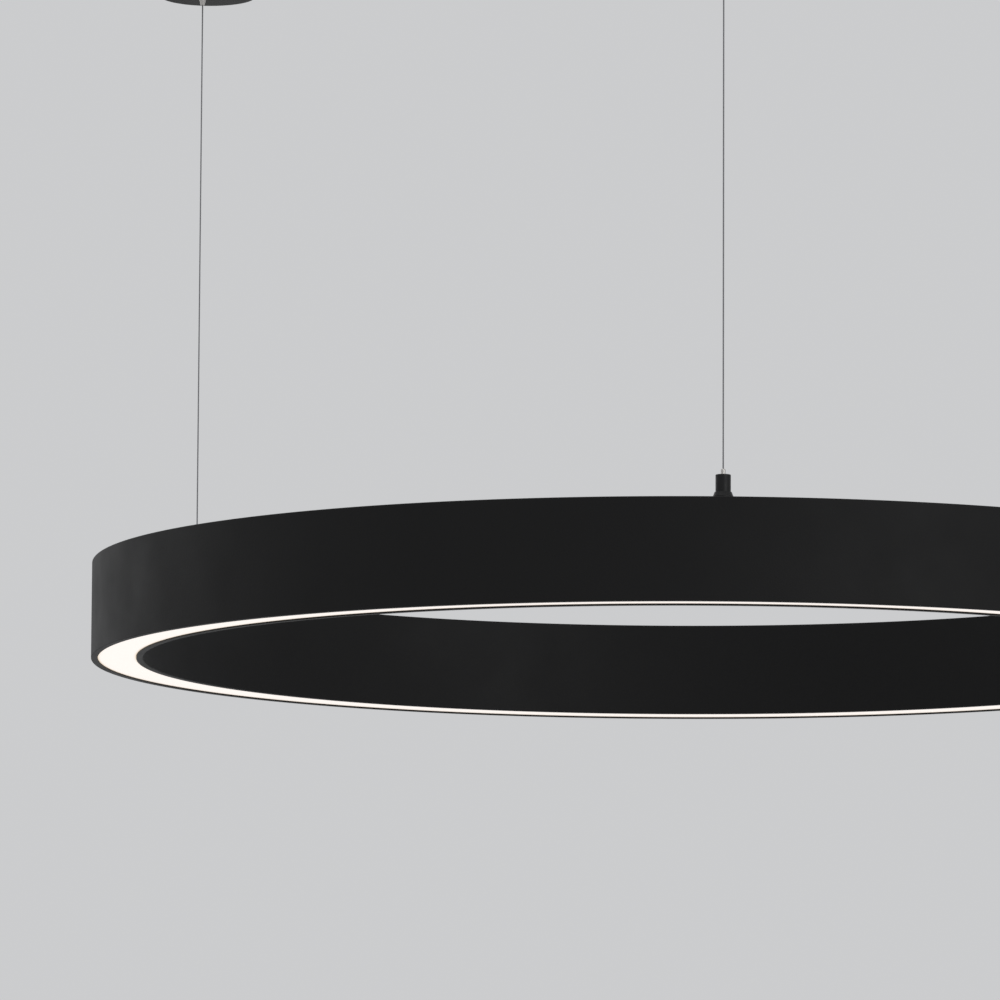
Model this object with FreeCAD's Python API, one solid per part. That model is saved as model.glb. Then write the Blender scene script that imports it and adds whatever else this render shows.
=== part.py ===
import FreeCAD, Part
import math
import os

# A ring pendant lamp: a black extruded ring with a light strip in its underside, hung level
# from the ceiling on three steel wires. Millimetres, +Z up. The origin is on the ceiling, over
# the middle of the ring. Wire 1 points to -Y, and the others follow at equal angles.

# Ring extrusion, an H section rolled into a circle. Its inner rim is a little higher than the
# outer one, so the light strip leans towards the middle.
RING_DIAMETER = 1000.0
RING_WIDTH = 43.5
RING_HEIGHT = 81.5
RING_WALL = 2.5
EDGE_CHAMFER = 0.5
RIM_WIDTH = 5.5
RIM_HEIGHT = 5.0
INNER_RIM_RISE = 0.8
LAMP_CHAMBER_DEPTH = 30.0
WEB_THICKNESS = 2.5
LEDGE_WIDTH = 7.0
LEDGE_THICKNESS = 3.0

# Diffuser, an opal channel that snaps over the two rims
DIFFUSER_RECESS = 1.2
DIFFUSER_FACE = 2.0
DIFFUSER_LEG = 1.6
DIFFUSER_BARB = 1.0
DIFFUSER_BARB_HEIGHT = 1.5
DIFFUSER_FIT = 0.15

# Light engine on the underside of the web
BOARD_COUNT = 6
BOARD_WIDTH = 20.0
BOARD_THICKNESS = 1.6
BOARD_GAP = 2.0
LEDS_PER_BOARD = 16
LED_SIZE = 5.0
LED_HEIGHT = 1.6

# Power supplies on top of the web
DRIVER_LENGTH = 180.0
DRIVER_HEIGHT = 22.0
DRIVER_CORNER = 3.0
DRIVER_CLEARANCE = 1.0
DRIVER_EAR_LENGTH = 12.0
DRIVER_EAR_WIDTH = 12.0
DRIVER_EAR_THICKNESS = 2.0
CABLE_DIAMETER = 6.0
CABLE_PASS_DIAMETER = 8.0
TERMINAL_LENGTH = 34.0
TERMINAL_WIDTH = 20.0
TERMINAL_HEIGHT = 14.0
TERMINAL_POLES = 3
TERMINAL_WELL_DIAMETER = 5.0
TERMINAL_WELL_DEPTH = 8.0

# Covers that close the top of the ring, one for each wire
COVER_THICKNESS = 2.0
COVER_FIT = 0.3
COVER_JOINT = 0.6
COVER_SCREW_INSET = 25.0

# Fasteners
SCREW_DIAMETER = 3.0
SCREW_HEAD_DIAMETER = 5.6
SCREW_HEAD_HEIGHT = 1.5
SCREW_END = 1.0
SCREW_FIT = 0.05

# Wires
WIRE_COUNT = 3
FIRST_WIRE_ANGLE = -90.0
SUSPENSION_DROP = 560.0
WIRE_DIAMETER = 1.2
WIRE_CLEARANCE = 0.3
WIRE_TAIL = 20.0
WIRE_STOP_DIAMETER = 3.4
WIRE_STOP_LENGTH = 5.0

# Wire grippers on the ring
GRIPPER_DIAMETER = 12.0
GRIPPER_HEIGHT = 19.5
GRIPPER_CHAMFER = 0.4
GRIPPER_ROOF = 2.0
GRIPPER_CONE_HEIGHT = 6.5
GRIPPER_CONE_SLOPE = 0.16
FOOT_DIAMETER = 16.0
FOOT_STEP = 0.7
FOOT_THICKNESS = 2.5
FOOT_CONE_HEIGHT = 3.3
SPIGOT_HEIGHT = 2.5
SPIGOT_FIT = 0.05
STUD_DIAMETER = 8.0
STUD_FIT = 0.05
STUD_END = 2.0
STUD_HOLE_CLEARANCE = 0.25
BRIDGE_THICKNESS = 4.0
BRIDGE_LENGTH = 34.0
BRIDGE_FIT = 0.3
BRIDGE_SCREW_SPACING = 22.0

# Release plunger and gripping balls inside each gripper
PLUNGER_DIAMETER = 3.6
PLUNGER_FIT = 0.08
PLUNGER_STANDOUT = 4.5
PLUNGER_TIP_CHAMFER = 0.6
PLUNGER_SEAT_GAP = 0.1
CAGE_DIAMETER = 5.8
CAGE_LENGTH = 5.5
BALL_COUNT = 3
BALL_DIAMETER = 3.0
BALL_DEPTH = 2.5
BALL_GAP = 0.05
BALL_POCKET_CLEARANCE = 0.08
SPRING_WIRE = 0.4
SPRING_DIAMETER = 4.6
SPRING_TURNS = 3.0
SPRING_END_GAP = 0.05

# Canopies on the ceiling, set a little off their wires
CANOPY_DIAMETER = 86.0
CANOPY_HEIGHT = 26.0
CANOPY_WALL = 1.5
CANOPY_BEND = 0.5
CANOPY_OFFSET = 5.0
CANOPY_CEILING_GAP = 0.5
CANOPY_SLIP = 0.3
PLATE_THICKNESS = 2.0
PLATE_FLANGE_HEIGHT = 12.0
PLATE_FLANGE_WALL = 1.5
PLATE_HOLE_CIRCLE = 60.0
PLATE_HOLE_DIAMETER = 4.5
PLATE_HOLE_COUNT = 3
PLATE_FIRST_HOLE = 60.0
BOSS_DIAMETER = 16.0
BOSS_HEIGHT = 10.0
GRUB_LEVEL = 7.0
GRUB_RECESS = 0.2
GRUB_GAP = 0.1

# Wire anchor in each canopy, whose cone shows below it
ANCHOR_THREAD_DIAMETER = 10.0
ANCHOR_THREAD_FIT = 0.05
ANCHOR_TOP_LEVEL = 3.0
ANCHOR_SHANK_DIAMETER = 7.0
ANCHOR_HOLE_CLEARANCE = 0.3
ANCHOR_CONE_HEIGHT = 7.0
ANCHOR_TIP_DIAMETER = 3.6
ANCHOR_STOP_CLEARANCE = 0.2

# Power entry, at one of the wires
FEED_WIRE = 1
FEED_OFFSET = 14.0
FEED_ENTRY_DIAMETER = 12.0
FEED_ENTRY_OFFSET = 16.0
GLAND_DIAMETER = 14.0
GLAND_FLANGE_HEIGHT = 4.0
GLAND_CAP_HEIGHT = 7.0
GLAND_CAP_TIP_DIAMETER = 9.0
GLAND_THREAD_DIAMETER = 10.0
GLAND_THREAD_LENGTH = 8.0
GLAND_THREAD_FIT = 0.15
GLAND_NUT_HEIGHT = 3.0
LEAD_BORE_DIAMETER = 5.4
RING_GLAND_DISTANCE = 50.0
RING_TERMINAL_DISTANCE = 95.0
CEILING_TERMINAL_LENGTH = 22.0
CEILING_TERMINAL_WIDTH = 12.0
CEILING_TERMINAL_HEIGHT = 11.0
CEILING_TERMINAL_OFFSET = 24.0

# Levels and radii that follow
RING_OUTER = RING_DIAMETER / 2
RING_INNER = RING_OUTER - RING_WIDTH
RING_MIDDLE = (RING_OUTER + RING_INNER) / 2
CHANNEL_OUTER = RING_OUTER - RING_WALL
CHANNEL_INNER = RING_INNER + RING_WALL
RING_TOP = -SUSPENSION_DROP
RING_BOTTOM = RING_TOP - RING_HEIGHT
WEB_BOTTOM = RING_BOTTOM + LAMP_CHAMBER_DEPTH
WEB_TOP = WEB_BOTTOM + WEB_THICKNESS
LEDGE_TOP = RING_TOP - COVER_THICKNESS
LEDGE_BOTTOM = LEDGE_TOP - LEDGE_THICKNESS
RIM_TOP = RING_BOTTOM + RIM_HEIGHT
INNER_RIM_BOTTOM = RING_BOTTOM + INNER_RIM_RISE
WIRE_ANGLES = [FIRST_WIRE_ANGLE + i * 360.0 / WIRE_COUNT for i in range(WIRE_COUNT)]
SCREW_CIRCLES = (CHANNEL_INNER + LEDGE_WIDTH / 2, CHANNEL_OUTER - LEDGE_WIDTH / 2)

WIRE_RADIUS = WIRE_DIAMETER / 2
WIRE_BORE = WIRE_RADIUS + WIRE_CLEARANCE
GRIPPER_RADIUS = GRIPPER_DIAMETER / 2
GRIPPER_TOP = RING_TOP + GRIPPER_HEIGHT
FOOT_TOP = RING_TOP + FOOT_THICKNESS + FOOT_CONE_HEIGHT
SPIGOT_TOP = FOOT_TOP + SPIGOT_HEIGHT
CONE_TOP = GRIPPER_TOP - GRIPPER_ROOF
CONE_BOTTOM = CONE_TOP - GRIPPER_CONE_HEIGHT
BALL_RADIUS = BALL_DIAMETER / 2
BALL_LEVEL = CONE_TOP - BALL_DEPTH
BALL_CIRCLE = WIRE_RADIUS + BALL_GAP + BALL_RADIUS
CONE_STRETCH = math.hypot(1.0, GRIPPER_CONE_SLOPE)
CONE_AT_BALLS = BALL_CIRCLE + (BALL_RADIUS + BALL_GAP) * CONE_STRETCH
CONE_TOP_RADIUS = CONE_AT_BALLS - BALL_DEPTH * GRIPPER_CONE_SLOPE
CONE_BOTTOM_RADIUS = CONE_TOP_RADIUS + GRIPPER_CONE_HEIGHT * GRIPPER_CONE_SLOPE
CAGE_TOP = CONE_TOP - PLUNGER_SEAT_GAP
CAGE_BOTTOM = CAGE_TOP - CAGE_LENGTH
STUD_BOTTOM = LEDGE_BOTTOM - BRIDGE_THICKNESS - STUD_END

CANOPY_RADIUS = CANOPY_DIAMETER / 2
CANOPY_CORNER = CANOPY_BEND + CANOPY_WALL
CANOPY_FACE = -CANOPY_HEIGHT
ANCHOR_TIP = CANOPY_FACE - ANCHOR_CONE_HEIGHT
STOP_TOP = -ANCHOR_TOP_LEVEL - WIRE_STOP_DIAMETER / 2
STOP_SEAT = STOP_TOP - WIRE_STOP_LENGTH
PLATE_RADIUS = CANOPY_RADIUS - CANOPY_WALL - CANOPY_SLIP
CANOPY_CENTRE = RING_MIDDLE - CANOPY_OFFSET
FEED_GLAND_RADIUS = RING_MIDDLE - FEED_OFFSET

# A driver is as wide as the curved channel lets a straight case of its length be
DRIVER_INNER_FACE = CHANNEL_INNER + DRIVER_CLEARANCE
DRIVER_OUTER_FACE = math.sqrt((CHANNEL_OUTER - DRIVER_CLEARANCE) ** 2 - (DRIVER_LENGTH / 2) ** 2)
DRIVER_WIDTH = DRIVER_OUTER_FACE - DRIVER_INNER_FACE
DRIVER_CENTRE = (DRIVER_OUTER_FACE + DRIVER_INNER_FACE) / 2
DRIVER_EAR_CENTRE = math.hypot(DRIVER_CENTRE, DRIVER_LENGTH / 2 + DRIVER_EAR_LENGTH / 2)
CABLE_CIRCLE = math.hypot(DRIVER_CENTRE, DRIVER_LENGTH / 2)
DRIVER_ANGLES = [angle + 180.0 / WIRE_COUNT for angle in WIRE_ANGLES]


def vector(x, y, z):
    return FreeCAD.Vector(x, y, z)


def arc_angle(length, radius):
    """Degrees that a length takes up along a circle."""
    return math.degrees(length / radius)


def turned(outline, sweep=360.0, start=0.0):
    """An outline of (radius, z) points turned about the vertical axis."""
    points = [vector(radius, 0, z) for radius, z in outline]
    face = Part.Face(Part.makePolygon(points + points[:1]))
    solid = face.revolve(vector(0, 0, 0), vector(0, 0, 1), sweep)
    solid.rotate(vector(0, 0, 0), vector(0, 0, 1), start)
    return solid


def ring_sector(inner, outer, bottom, top, middle, half_angle):
    """A flat piece of a ring, centred on an angle."""
    outline = [(inner, bottom), (outer, bottom), (outer, top), (inner, top)]
    return turned(outline, 2 * half_angle, middle - half_angle)


def disc(radius, bottom, top, x=0.0, y=0.0):
    return Part.makeCylinder(radius, top - bottom, vector(x, y, bottom))


def block(length_x, length_y, bottom, top, x=0.0, y=0.0):
    corner = vector(x - length_x / 2, y - length_y / 2, bottom)
    return Part.makeBox(length_x, length_y, top - bottom, corner)


def hexagon(across_flats, bottom, top):
    radius = across_flats / math.sqrt(3.0)
    corners = [
        vector(radius * math.cos(math.radians(a)), radius * math.sin(math.radians(a)), bottom)
        for a in range(0, 360, 60)
    ]
    face = Part.Face(Part.makePolygon(corners + corners[:1]))
    return face.extrude(vector(0, 0, top - bottom))


def moved(shape, x, y, z=0.0):
    copy = shape.copy()
    copy.translate(vector(x, y, z))
    return copy


def set_round(shape, radius, angle):
    """A shape built about its own vertical axis, moved out to a radius and turned to an angle.
    Its +X then points away from the middle of the ring."""
    copy = moved(shape, radius, 0)
    copy.rotate(vector(0, 0, 0), vector(0, 0, 1), angle)
    return copy


def fuse_all(shapes):
    return shapes[0].multiFuse(shapes[1:]).removeSplitter()


# ---------------------------------------------------------------- fasteners


def countersunk_screw(top, bottom):
    """A countersunk screw about the vertical axis, its head flush with the level top."""
    shank = SCREW_DIAMETER / 2
    head = SCREW_HEAD_DIAMETER / 2
    return turned([(0, bottom), (shank, bottom), (shank, top - SCREW_HEAD_HEIGHT), (head, top), (0, top)])


def countersunk_hole(top, bottom):
    """The hole for that screw, wider all round by the screw's fit."""
    shank = SCREW_DIAMETER / 2 + SCREW_FIT
    head = SCREW_HEAD_DIAMETER / 2 + SCREW_FIT
    return turned([(0, bottom), (shank, bottom), (shank, top - SCREW_HEAD_HEIGHT), (head, top), (0, top)])


def cover_screw_angles():
    """The screws sit in pairs at both ends of each cover."""
    half = 180.0 / WIRE_COUNT - arc_angle(COVER_SCREW_INSET, RING_MIDDLE)
    return [angle + side * half for angle in WIRE_ANGLES for side in (-1, 1)]


def bridge_screw_angles():
    half = arc_angle(BRIDGE_SCREW_SPACING / 2, RING_MIDDLE)
    return [angle + side * half for angle in WIRE_ANGLES for side in (-1, 1)]


def driver_screw_angles():
    half = math.degrees(math.atan((DRIVER_LENGTH + DRIVER_EAR_LENGTH) / 2 / DRIVER_CENTRE))
    return [angle + side * half for angle in DRIVER_ANGLES for side in (-1, 1)]


def cover_screws():
    screw = countersunk_screw(RING_TOP, LEDGE_BOTTOM - SCREW_END)
    return Part.makeCompound(
        [set_round(screw, circle, angle) for angle in cover_screw_angles() for circle in SCREW_CIRCLES]
    )


def bridge_screws():
    screw = countersunk_screw(LEDGE_TOP, LEDGE_BOTTOM - BRIDGE_THICKNESS)
    return Part.makeCompound(
        [set_round(screw, circle, angle) for angle in bridge_screw_angles() for circle in SCREW_CIRCLES]
    )


def driver_screws():
    screw = countersunk_screw(WEB_TOP + DRIVER_EAR_THICKNESS, WEB_BOTTOM)
    return Part.makeCompound([set_round(screw, DRIVER_EAR_CENTRE, angle) for angle in driver_screw_angles()])


# ---------------------------------------------------------------- ring body


def ring_housing():
    """Two walls joined by a web. The wall feet widen into the rims that frame the light strip,
    and a ledge near each top edge carries the covers."""
    chamfer = EDGE_CHAMFER
    outline = [
        (RING_OUTER - chamfer, RING_BOTTOM),
        (RING_OUTER, RING_BOTTOM + chamfer),
        (RING_OUTER, RING_TOP - chamfer),
        (RING_OUTER - chamfer, RING_TOP),
        (CHANNEL_OUTER, RING_TOP),
        (CHANNEL_OUTER, LEDGE_TOP),
        (CHANNEL_OUTER - LEDGE_WIDTH, LEDGE_TOP),
        (CHANNEL_OUTER - LEDGE_WIDTH, LEDGE_BOTTOM),
        (CHANNEL_OUTER, LEDGE_BOTTOM),
        (CHANNEL_OUTER, WEB_TOP),
        (CHANNEL_INNER, WEB_TOP),
        (CHANNEL_INNER, LEDGE_BOTTOM),
        (CHANNEL_INNER + LEDGE_WIDTH, LEDGE_BOTTOM),
        (CHANNEL_INNER + LEDGE_WIDTH, LEDGE_TOP),
        (CHANNEL_INNER, LEDGE_TOP),
        (CHANNEL_INNER, RING_TOP),
        (RING_INNER + chamfer, RING_TOP),
        (RING_INNER, RING_TOP - chamfer),
        (RING_INNER, INNER_RIM_BOTTOM + chamfer),
        (RING_INNER + chamfer, INNER_RIM_BOTTOM),
        (RING_INNER + RIM_WIDTH, INNER_RIM_BOTTOM),
        (RING_INNER + RIM_WIDTH, RIM_TOP),
        (CHANNEL_INNER, RIM_TOP),
        (CHANNEL_INNER, WEB_BOTTOM),
        (CHANNEL_OUTER, WEB_BOTTOM),
        (CHANNEL_OUTER, RIM_TOP),
        (RING_OUTER - RIM_WIDTH, RIM_TOP),
        (RING_OUTER - RIM_WIDTH, RING_BOTTOM),
    ]
    housing = turned(outline)
    cover_hole = disc(SCREW_DIAMETER / 2 + SCREW_FIT, LEDGE_BOTTOM, LEDGE_TOP)
    bridge_hole = countersunk_hole(LEDGE_TOP, LEDGE_BOTTOM)
    driver_hole = disc(SCREW_DIAMETER / 2 + SCREW_FIT, WEB_BOTTOM, WEB_TOP)
    cable_pass = disc(CABLE_PASS_DIAMETER / 2, WEB_BOTTOM, WEB_TOP)
    holes = [set_round(cover_hole, c, a) for a in cover_screw_angles() for c in SCREW_CIRCLES]
    holes += [set_round(bridge_hole, c, a) for a in bridge_screw_angles() for c in SCREW_CIRCLES]
    holes += [set_round(driver_hole, DRIVER_EAR_CENTRE, a) for a in driver_screw_angles()]
    holes += [set_round(cable_pass, CHANNEL_OUTER - CABLE_PASS_DIAMETER, a) for a in DRIVER_ANGLES]
    return housing.cut(Part.makeCompound(holes))


def diffuser():
    """An opal channel. Its legs stand inside the rims, and the barbs hook over them. Its face
    leans with the rims."""
    outer = RING_OUTER - RIM_WIDTH - DIFFUSER_FIT
    inner = RING_INNER + RIM_WIDTH + DIFFUSER_FIT
    face = RING_BOTTOM + DIFFUSER_RECESS
    back = face + DIFFUSER_FACE
    barb_top = RIM_TOP + DIFFUSER_BARB_HEIGHT
    outline = [
        (inner, face + INNER_RIM_RISE),
        (outer, face),
        (outer, RIM_TOP),
        (outer + DIFFUSER_BARB, RIM_TOP),
        (outer, barb_top),
        (outer - DIFFUSER_LEG, barb_top),
        (outer - DIFFUSER_LEG, back),
        (inner + DIFFUSER_LEG, back + INNER_RIM_RISE),
        (inner + DIFFUSER_LEG, barb_top),
        (inner, barb_top),
        (inner - DIFFUSER_BARB, RIM_TOP),
        (inner, RIM_TOP),
    ]
    return turned(outline)


def led_board(index):
    """One curved board against the web, with its row of light-emitting packages."""
    pitch = 360.0 / BOARD_COUNT
    middle = FIRST_WIRE_ANGLE + (index + 0.5) * pitch
    half = pitch / 2 - arc_angle(BOARD_GAP / 2, RING_MIDDLE)
    face = WEB_BOTTOM - BOARD_THICKNESS
    board = ring_sector(
        RING_MIDDLE - BOARD_WIDTH / 2, RING_MIDDLE + BOARD_WIDTH / 2, face, WEB_BOTTOM, middle, half
    )
    package = block(LED_SIZE, LED_SIZE, face - LED_HEIGHT, face)
    step = pitch / LEDS_PER_BOARD
    first = middle - pitch / 2 + step / 2
    packages = [set_round(package, RING_MIDDLE, first + i * step) for i in range(LEDS_PER_BOARD)]
    return fuse_all([board] + packages)


def top_cover(index):
    """A third of the lid. It lies on the ledges, flush with the wall tops, and the gripper's
    stud goes through its middle."""
    angle = WIRE_ANGLES[index]
    half = 180.0 / WIRE_COUNT - arc_angle(COVER_JOINT / 2, RING_MIDDLE)
    cover = ring_sector(
        CHANNEL_INNER + COVER_FIT, CHANNEL_OUTER - COVER_FIT, LEDGE_TOP, RING_TOP, angle, half
    )
    stud_hole = disc(STUD_DIAMETER / 2 + STUD_HOLE_CLEARANCE, LEDGE_TOP, RING_TOP)
    screw_hole = countersunk_hole(RING_TOP, LEDGE_TOP)
    holes = [set_round(stud_hole, RING_MIDDLE, angle)]
    holes += [set_round(screw_hole, c, a) for a in cover_screw_angles() for c in SCREW_CIRCLES]
    if index == FEED_WIRE:
        gland_hole = disc(GLAND_THREAD_DIAMETER / 2 + GLAND_THREAD_FIT, LEDGE_TOP, RING_TOP)
        holes.append(set_round(gland_hole, RING_MIDDLE, ring_gland_angle()))
    return cover.cut(Part.makeCompound(holes))


def bridge(index):
    """The steel bar that carries the ring: it lies under both ledges, and a key between them
    stops it turning. The gripper's stud screws into it."""
    angle = WIRE_ANGLES[index]
    half = arc_angle(BRIDGE_LENGTH / 2, RING_MIDDLE)
    bottom = LEDGE_BOTTOM - BRIDGE_THICKNESS
    bar = ring_sector(
        CHANNEL_INNER + BRIDGE_FIT, CHANNEL_OUTER - BRIDGE_FIT, bottom, LEDGE_BOTTOM, angle, half
    )
    ledge_fit = LEDGE_WIDTH + BRIDGE_FIT
    key = ring_sector(
        CHANNEL_INNER + ledge_fit, CHANNEL_OUTER - ledge_fit, LEDGE_BOTTOM, LEDGE_TOP, angle, half
    )
    stud_hole = disc(STUD_DIAMETER / 2 + STUD_FIT, bottom, LEDGE_TOP)
    screw_hole = disc(SCREW_DIAMETER / 2 + SCREW_FIT, bottom, LEDGE_BOTTOM)
    holes = [set_round(stud_hole, RING_MIDDLE, angle)]
    holes += [set_round(screw_hole, c, a) for a in bridge_screw_angles() for c in SCREW_CIRCLES]
    return fuse_all([bar, key]).cut(Part.makeCompound(holes))


def driver_case():
    """A slim power supply, lying along Y on the web, with a screw ear at each end."""
    case = block(DRIVER_WIDTH, DRIVER_LENGTH, WEB_TOP, WEB_TOP + DRIVER_HEIGHT)
    upright = [e for e in case.Edges if abs(e.BoundBox.ZLength - DRIVER_HEIGHT) < DRIVER_HEIGHT / 100]
    case = case.makeFillet(DRIVER_CORNER, upright)
    ears = block(
        DRIVER_EAR_WIDTH,
        DRIVER_LENGTH + 2 * DRIVER_EAR_LENGTH,
        WEB_TOP,
        WEB_TOP + DRIVER_EAR_THICKNESS,
    )
    return fuse_all([case, ears])


def driver(index):
    case = set_round(driver_case(), DRIVER_CENTRE, DRIVER_ANGLES[index])
    hole = countersunk_hole(WEB_TOP + DRIVER_EAR_THICKNESS, WEB_TOP)
    holes = [set_round(hole, DRIVER_EAR_CENTRE, angle) for angle in driver_screw_angles()]
    return case.cut(Part.makeCompound(holes))


def terminal_block(length, width, bottom, top, wells_from_top):
    """A screw terminal block along Y, with one screw well for each pole."""
    body = block(width, length, bottom, top)
    pitch = length / TERMINAL_POLES
    depth = min(TERMINAL_WELL_DEPTH, (top - bottom) * 0.6)
    low = top - depth if wells_from_top else bottom
    wells = [
        disc(TERMINAL_WELL_DIAMETER / 2, low, low + depth, 0, (i - (TERMINAL_POLES - 1) / 2) * pitch)
        for i in range(TERMINAL_POLES)
    ]
    return body.cut(Part.makeCompound(wells))


def ring_gland_angle():
    return WIRE_ANGLES[FEED_WIRE] + arc_angle(RING_GLAND_DISTANCE, RING_MIDDLE)


def ring_terminal_angle():
    return WIRE_ANGLES[FEED_WIRE] + arc_angle(RING_TERMINAL_DISTANCE, RING_MIDDLE)


def ring_terminal_block():
    body = terminal_block(TERMINAL_LENGTH, TERMINAL_WIDTH, WEB_TOP, WEB_TOP + TERMINAL_HEIGHT, True)
    return set_round(body, RING_MIDDLE, ring_terminal_angle())


def driver_cables():
    """Supply cables that lie on the web along the channel, from the terminal block to the
    drivers on both sides of it and on from one of these to the third."""
    radius = CABLE_DIAMETER / 2
    level = WEB_TOP + radius
    section = Part.Face(Part.Wire(Part.makeCircle(radius, vector(CABLE_CIRCLE, 0, level), vector(0, 1, 0))))
    block_angle = ring_terminal_angle()
    half_pitch = 180.0 / WIRE_COUNT
    before = WIRE_ANGLES[FEED_WIRE] - half_pitch
    after = WIRE_ANGLES[FEED_WIRE] + half_pitch
    last = after + 2 * half_pitch
    inside = arc_angle(DRIVER_LENGTH / 4, CABLE_CIRCLE)
    spans = [(before + inside, block_angle), (block_angle, after - inside), (after + inside, last - inside)]
    ends = [driver(i) for i in range(WIRE_COUNT)] + [ring_terminal_block(), driver_screws()]
    cables = []
    for start, stop in spans:
        cable = section.revolve(vector(0, 0, 0), vector(0, 0, 1), stop - start)
        cable.rotate(vector(0, 0, 0), vector(0, 0, 1), start)
        cables.append(cable.cut(Part.makeCompound(ends)))
    return Part.makeCompound(cables)


# ---------------------------------------------------------------- grippers


def gripper_base(index):
    """The foot that stands on the cover: a stud below it, a wire bore through it, and a spigot
    above it that closes the sleeve and carries the spring."""
    foot = FOOT_DIAMETER / 2
    spigot = CONE_BOTTOM_RADIUS - SPIGOT_FIT
    base = turned(
        [
            (WIRE_BORE, STUD_BOTTOM),
            (STUD_DIAMETER / 2, STUD_BOTTOM),
            (STUD_DIAMETER / 2, RING_TOP),
            (foot, RING_TOP),
            (foot, RING_TOP + FOOT_THICKNESS),
            (GRIPPER_RADIUS + FOOT_STEP, FOOT_TOP),
            (spigot, FOOT_TOP),
            (spigot, SPIGOT_TOP),
            (WIRE_BORE, SPIGOT_TOP),
        ]
    )
    return set_round(base, RING_MIDDLE, WIRE_ANGLES[index])


def gripper_sleeve(index):
    """The black barrel. Its bore narrows upwards, so the load wedges the balls on the wire."""
    sleeve = turned(
        [
            (CONE_BOTTOM_RADIUS, FOOT_TOP),
            (GRIPPER_RADIUS, FOOT_TOP),
            (GRIPPER_RADIUS, GRIPPER_TOP - GRIPPER_CHAMFER),
            (GRIPPER_RADIUS - GRIPPER_CHAMFER, GRIPPER_TOP),
            (PLUNGER_DIAMETER / 2 + PLUNGER_FIT, GRIPPER_TOP),
            (PLUNGER_DIAMETER / 2 + PLUNGER_FIT, CONE_TOP),
            (CONE_TOP_RADIUS, CONE_TOP),
            (CONE_BOTTOM_RADIUS, CONE_BOTTOM),
        ]
    )
    return set_round(sleeve, RING_MIDDLE, WIRE_ANGLES[index])


def ball_places():
    return [i * 360.0 / BALL_COUNT for i in range(BALL_COUNT)]


def gripper_plunger(index):
    """The nipple that is pressed to free the wire, on a cage with a pocket for each ball."""
    nipple = PLUNGER_DIAMETER / 2
    tip = GRIPPER_TOP + PLUNGER_STANDOUT
    body = turned(
        [
            (WIRE_BORE, CAGE_BOTTOM),
            (CAGE_DIAMETER / 2, CAGE_BOTTOM),
            (CAGE_DIAMETER / 2, CAGE_TOP),
            (nipple, CAGE_TOP),
            (nipple, tip - PLUNGER_TIP_CHAMFER),
            (nipple - PLUNGER_TIP_CHAMFER, tip),
            (WIRE_BORE, tip),
        ]
    )
    pocket_radius = BALL_RADIUS + BALL_POCKET_CLEARANCE
    pocket = Part.makeCylinder(pocket_radius, CAGE_DIAMETER, vector(0, 0, BALL_LEVEL), vector(1, 0, 0))
    pockets = []
    for angle in ball_places():
        turned_pocket = pocket.copy()
        turned_pocket.rotate(vector(0, 0, 0), vector(0, 0, 1), angle)
        pockets.append(turned_pocket)
    return set_round(body.cut(Part.makeCompound(pockets)), RING_MIDDLE, WIRE_ANGLES[index])


def gripper_balls(index):
    ball = Part.makeSphere(BALL_RADIUS, vector(0, 0, BALL_LEVEL))
    balls = Part.makeCompound([set_round(ball, BALL_CIRCLE, angle) for angle in ball_places()])
    return set_round(balls, RING_MIDDLE, WIRE_ANGLES[index])


def tangent_arc(start, corner, end):
    """The arc from start to end that leaves and arrives along the lines to the corner."""
    middle = (start + end) / 2
    cosine = start.distanceToPoint(end) / 2 / start.distanceToPoint(corner)
    crown = middle + (corner - middle) * (cosine / (1 + cosine))
    return Part.Arc(start, crown, end).toShape()


def coil_path(radius, low, high, turns):
    """A line that climbs round the vertical axis. Each quarter turn is a pair of arcs, and all
    the arcs run smoothly into each other."""
    steps = math.ceil(4 * turns)
    sweep = 2 * math.pi * turns
    rise = (high - low) / sweep
    points = []
    headings = []
    for i in range(steps + 1):
        angle = sweep * i / steps
        points.append(vector(radius * math.cos(angle), radius * math.sin(angle), low + rise * angle))
        heading = vector(-radius * math.sin(angle), radius * math.cos(angle), rise)
        headings.append(heading.normalize())
    arcs = []
    for i in range(steps):
        chord = points[i + 1] - points[i]
        along = chord.dot(headings[i] + headings[i + 1])
        turn = 2 * (1 - headings[i].dot(headings[i + 1]))
        reach = (math.sqrt(along**2 + turn * chord.dot(chord)) - along) / turn
        first_corner = points[i] + headings[i] * reach
        last_corner = points[i + 1] - headings[i + 1] * reach
        joint = (first_corner + last_corner) / 2
        arcs.append(tangent_arc(points[i], first_corner, joint))
        arcs.append(tangent_arc(joint, last_corner, points[i + 1]))
    return Part.Wire(arcs)


def gripper_spring(index):
    """A short coil between the spigot and the cage, which pushes the cage up into the cone."""
    radius = (SPRING_DIAMETER - SPRING_WIRE) / 2
    low = SPIGOT_TOP + SPRING_END_GAP + SPRING_WIRE / 2
    high = CAGE_BOTTOM - SPRING_END_GAP - SPRING_WIRE / 2
    path = coil_path(radius, low, high, SPRING_TURNS)
    section = Part.Wire(Part.makeCircle(SPRING_WIRE / 2, vector(radius, 0, low), vector(0, 1, 0)))
    coil = Part.Solid(path.makePipeShell([section], True))
    return set_round(coil, RING_MIDDLE, WIRE_ANGLES[index])


# ---------------------------------------------------------------- wires


def wire_bottom():
    return STUD_BOTTOM - WIRE_TAIL


def wire(index):
    """One straight taut wire, from its stop in the anchor to its cut end inside the ring."""
    return set_round(disc(WIRE_RADIUS, wire_bottom(), STOP_TOP), RING_MIDDLE, WIRE_ANGLES[index])


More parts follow.
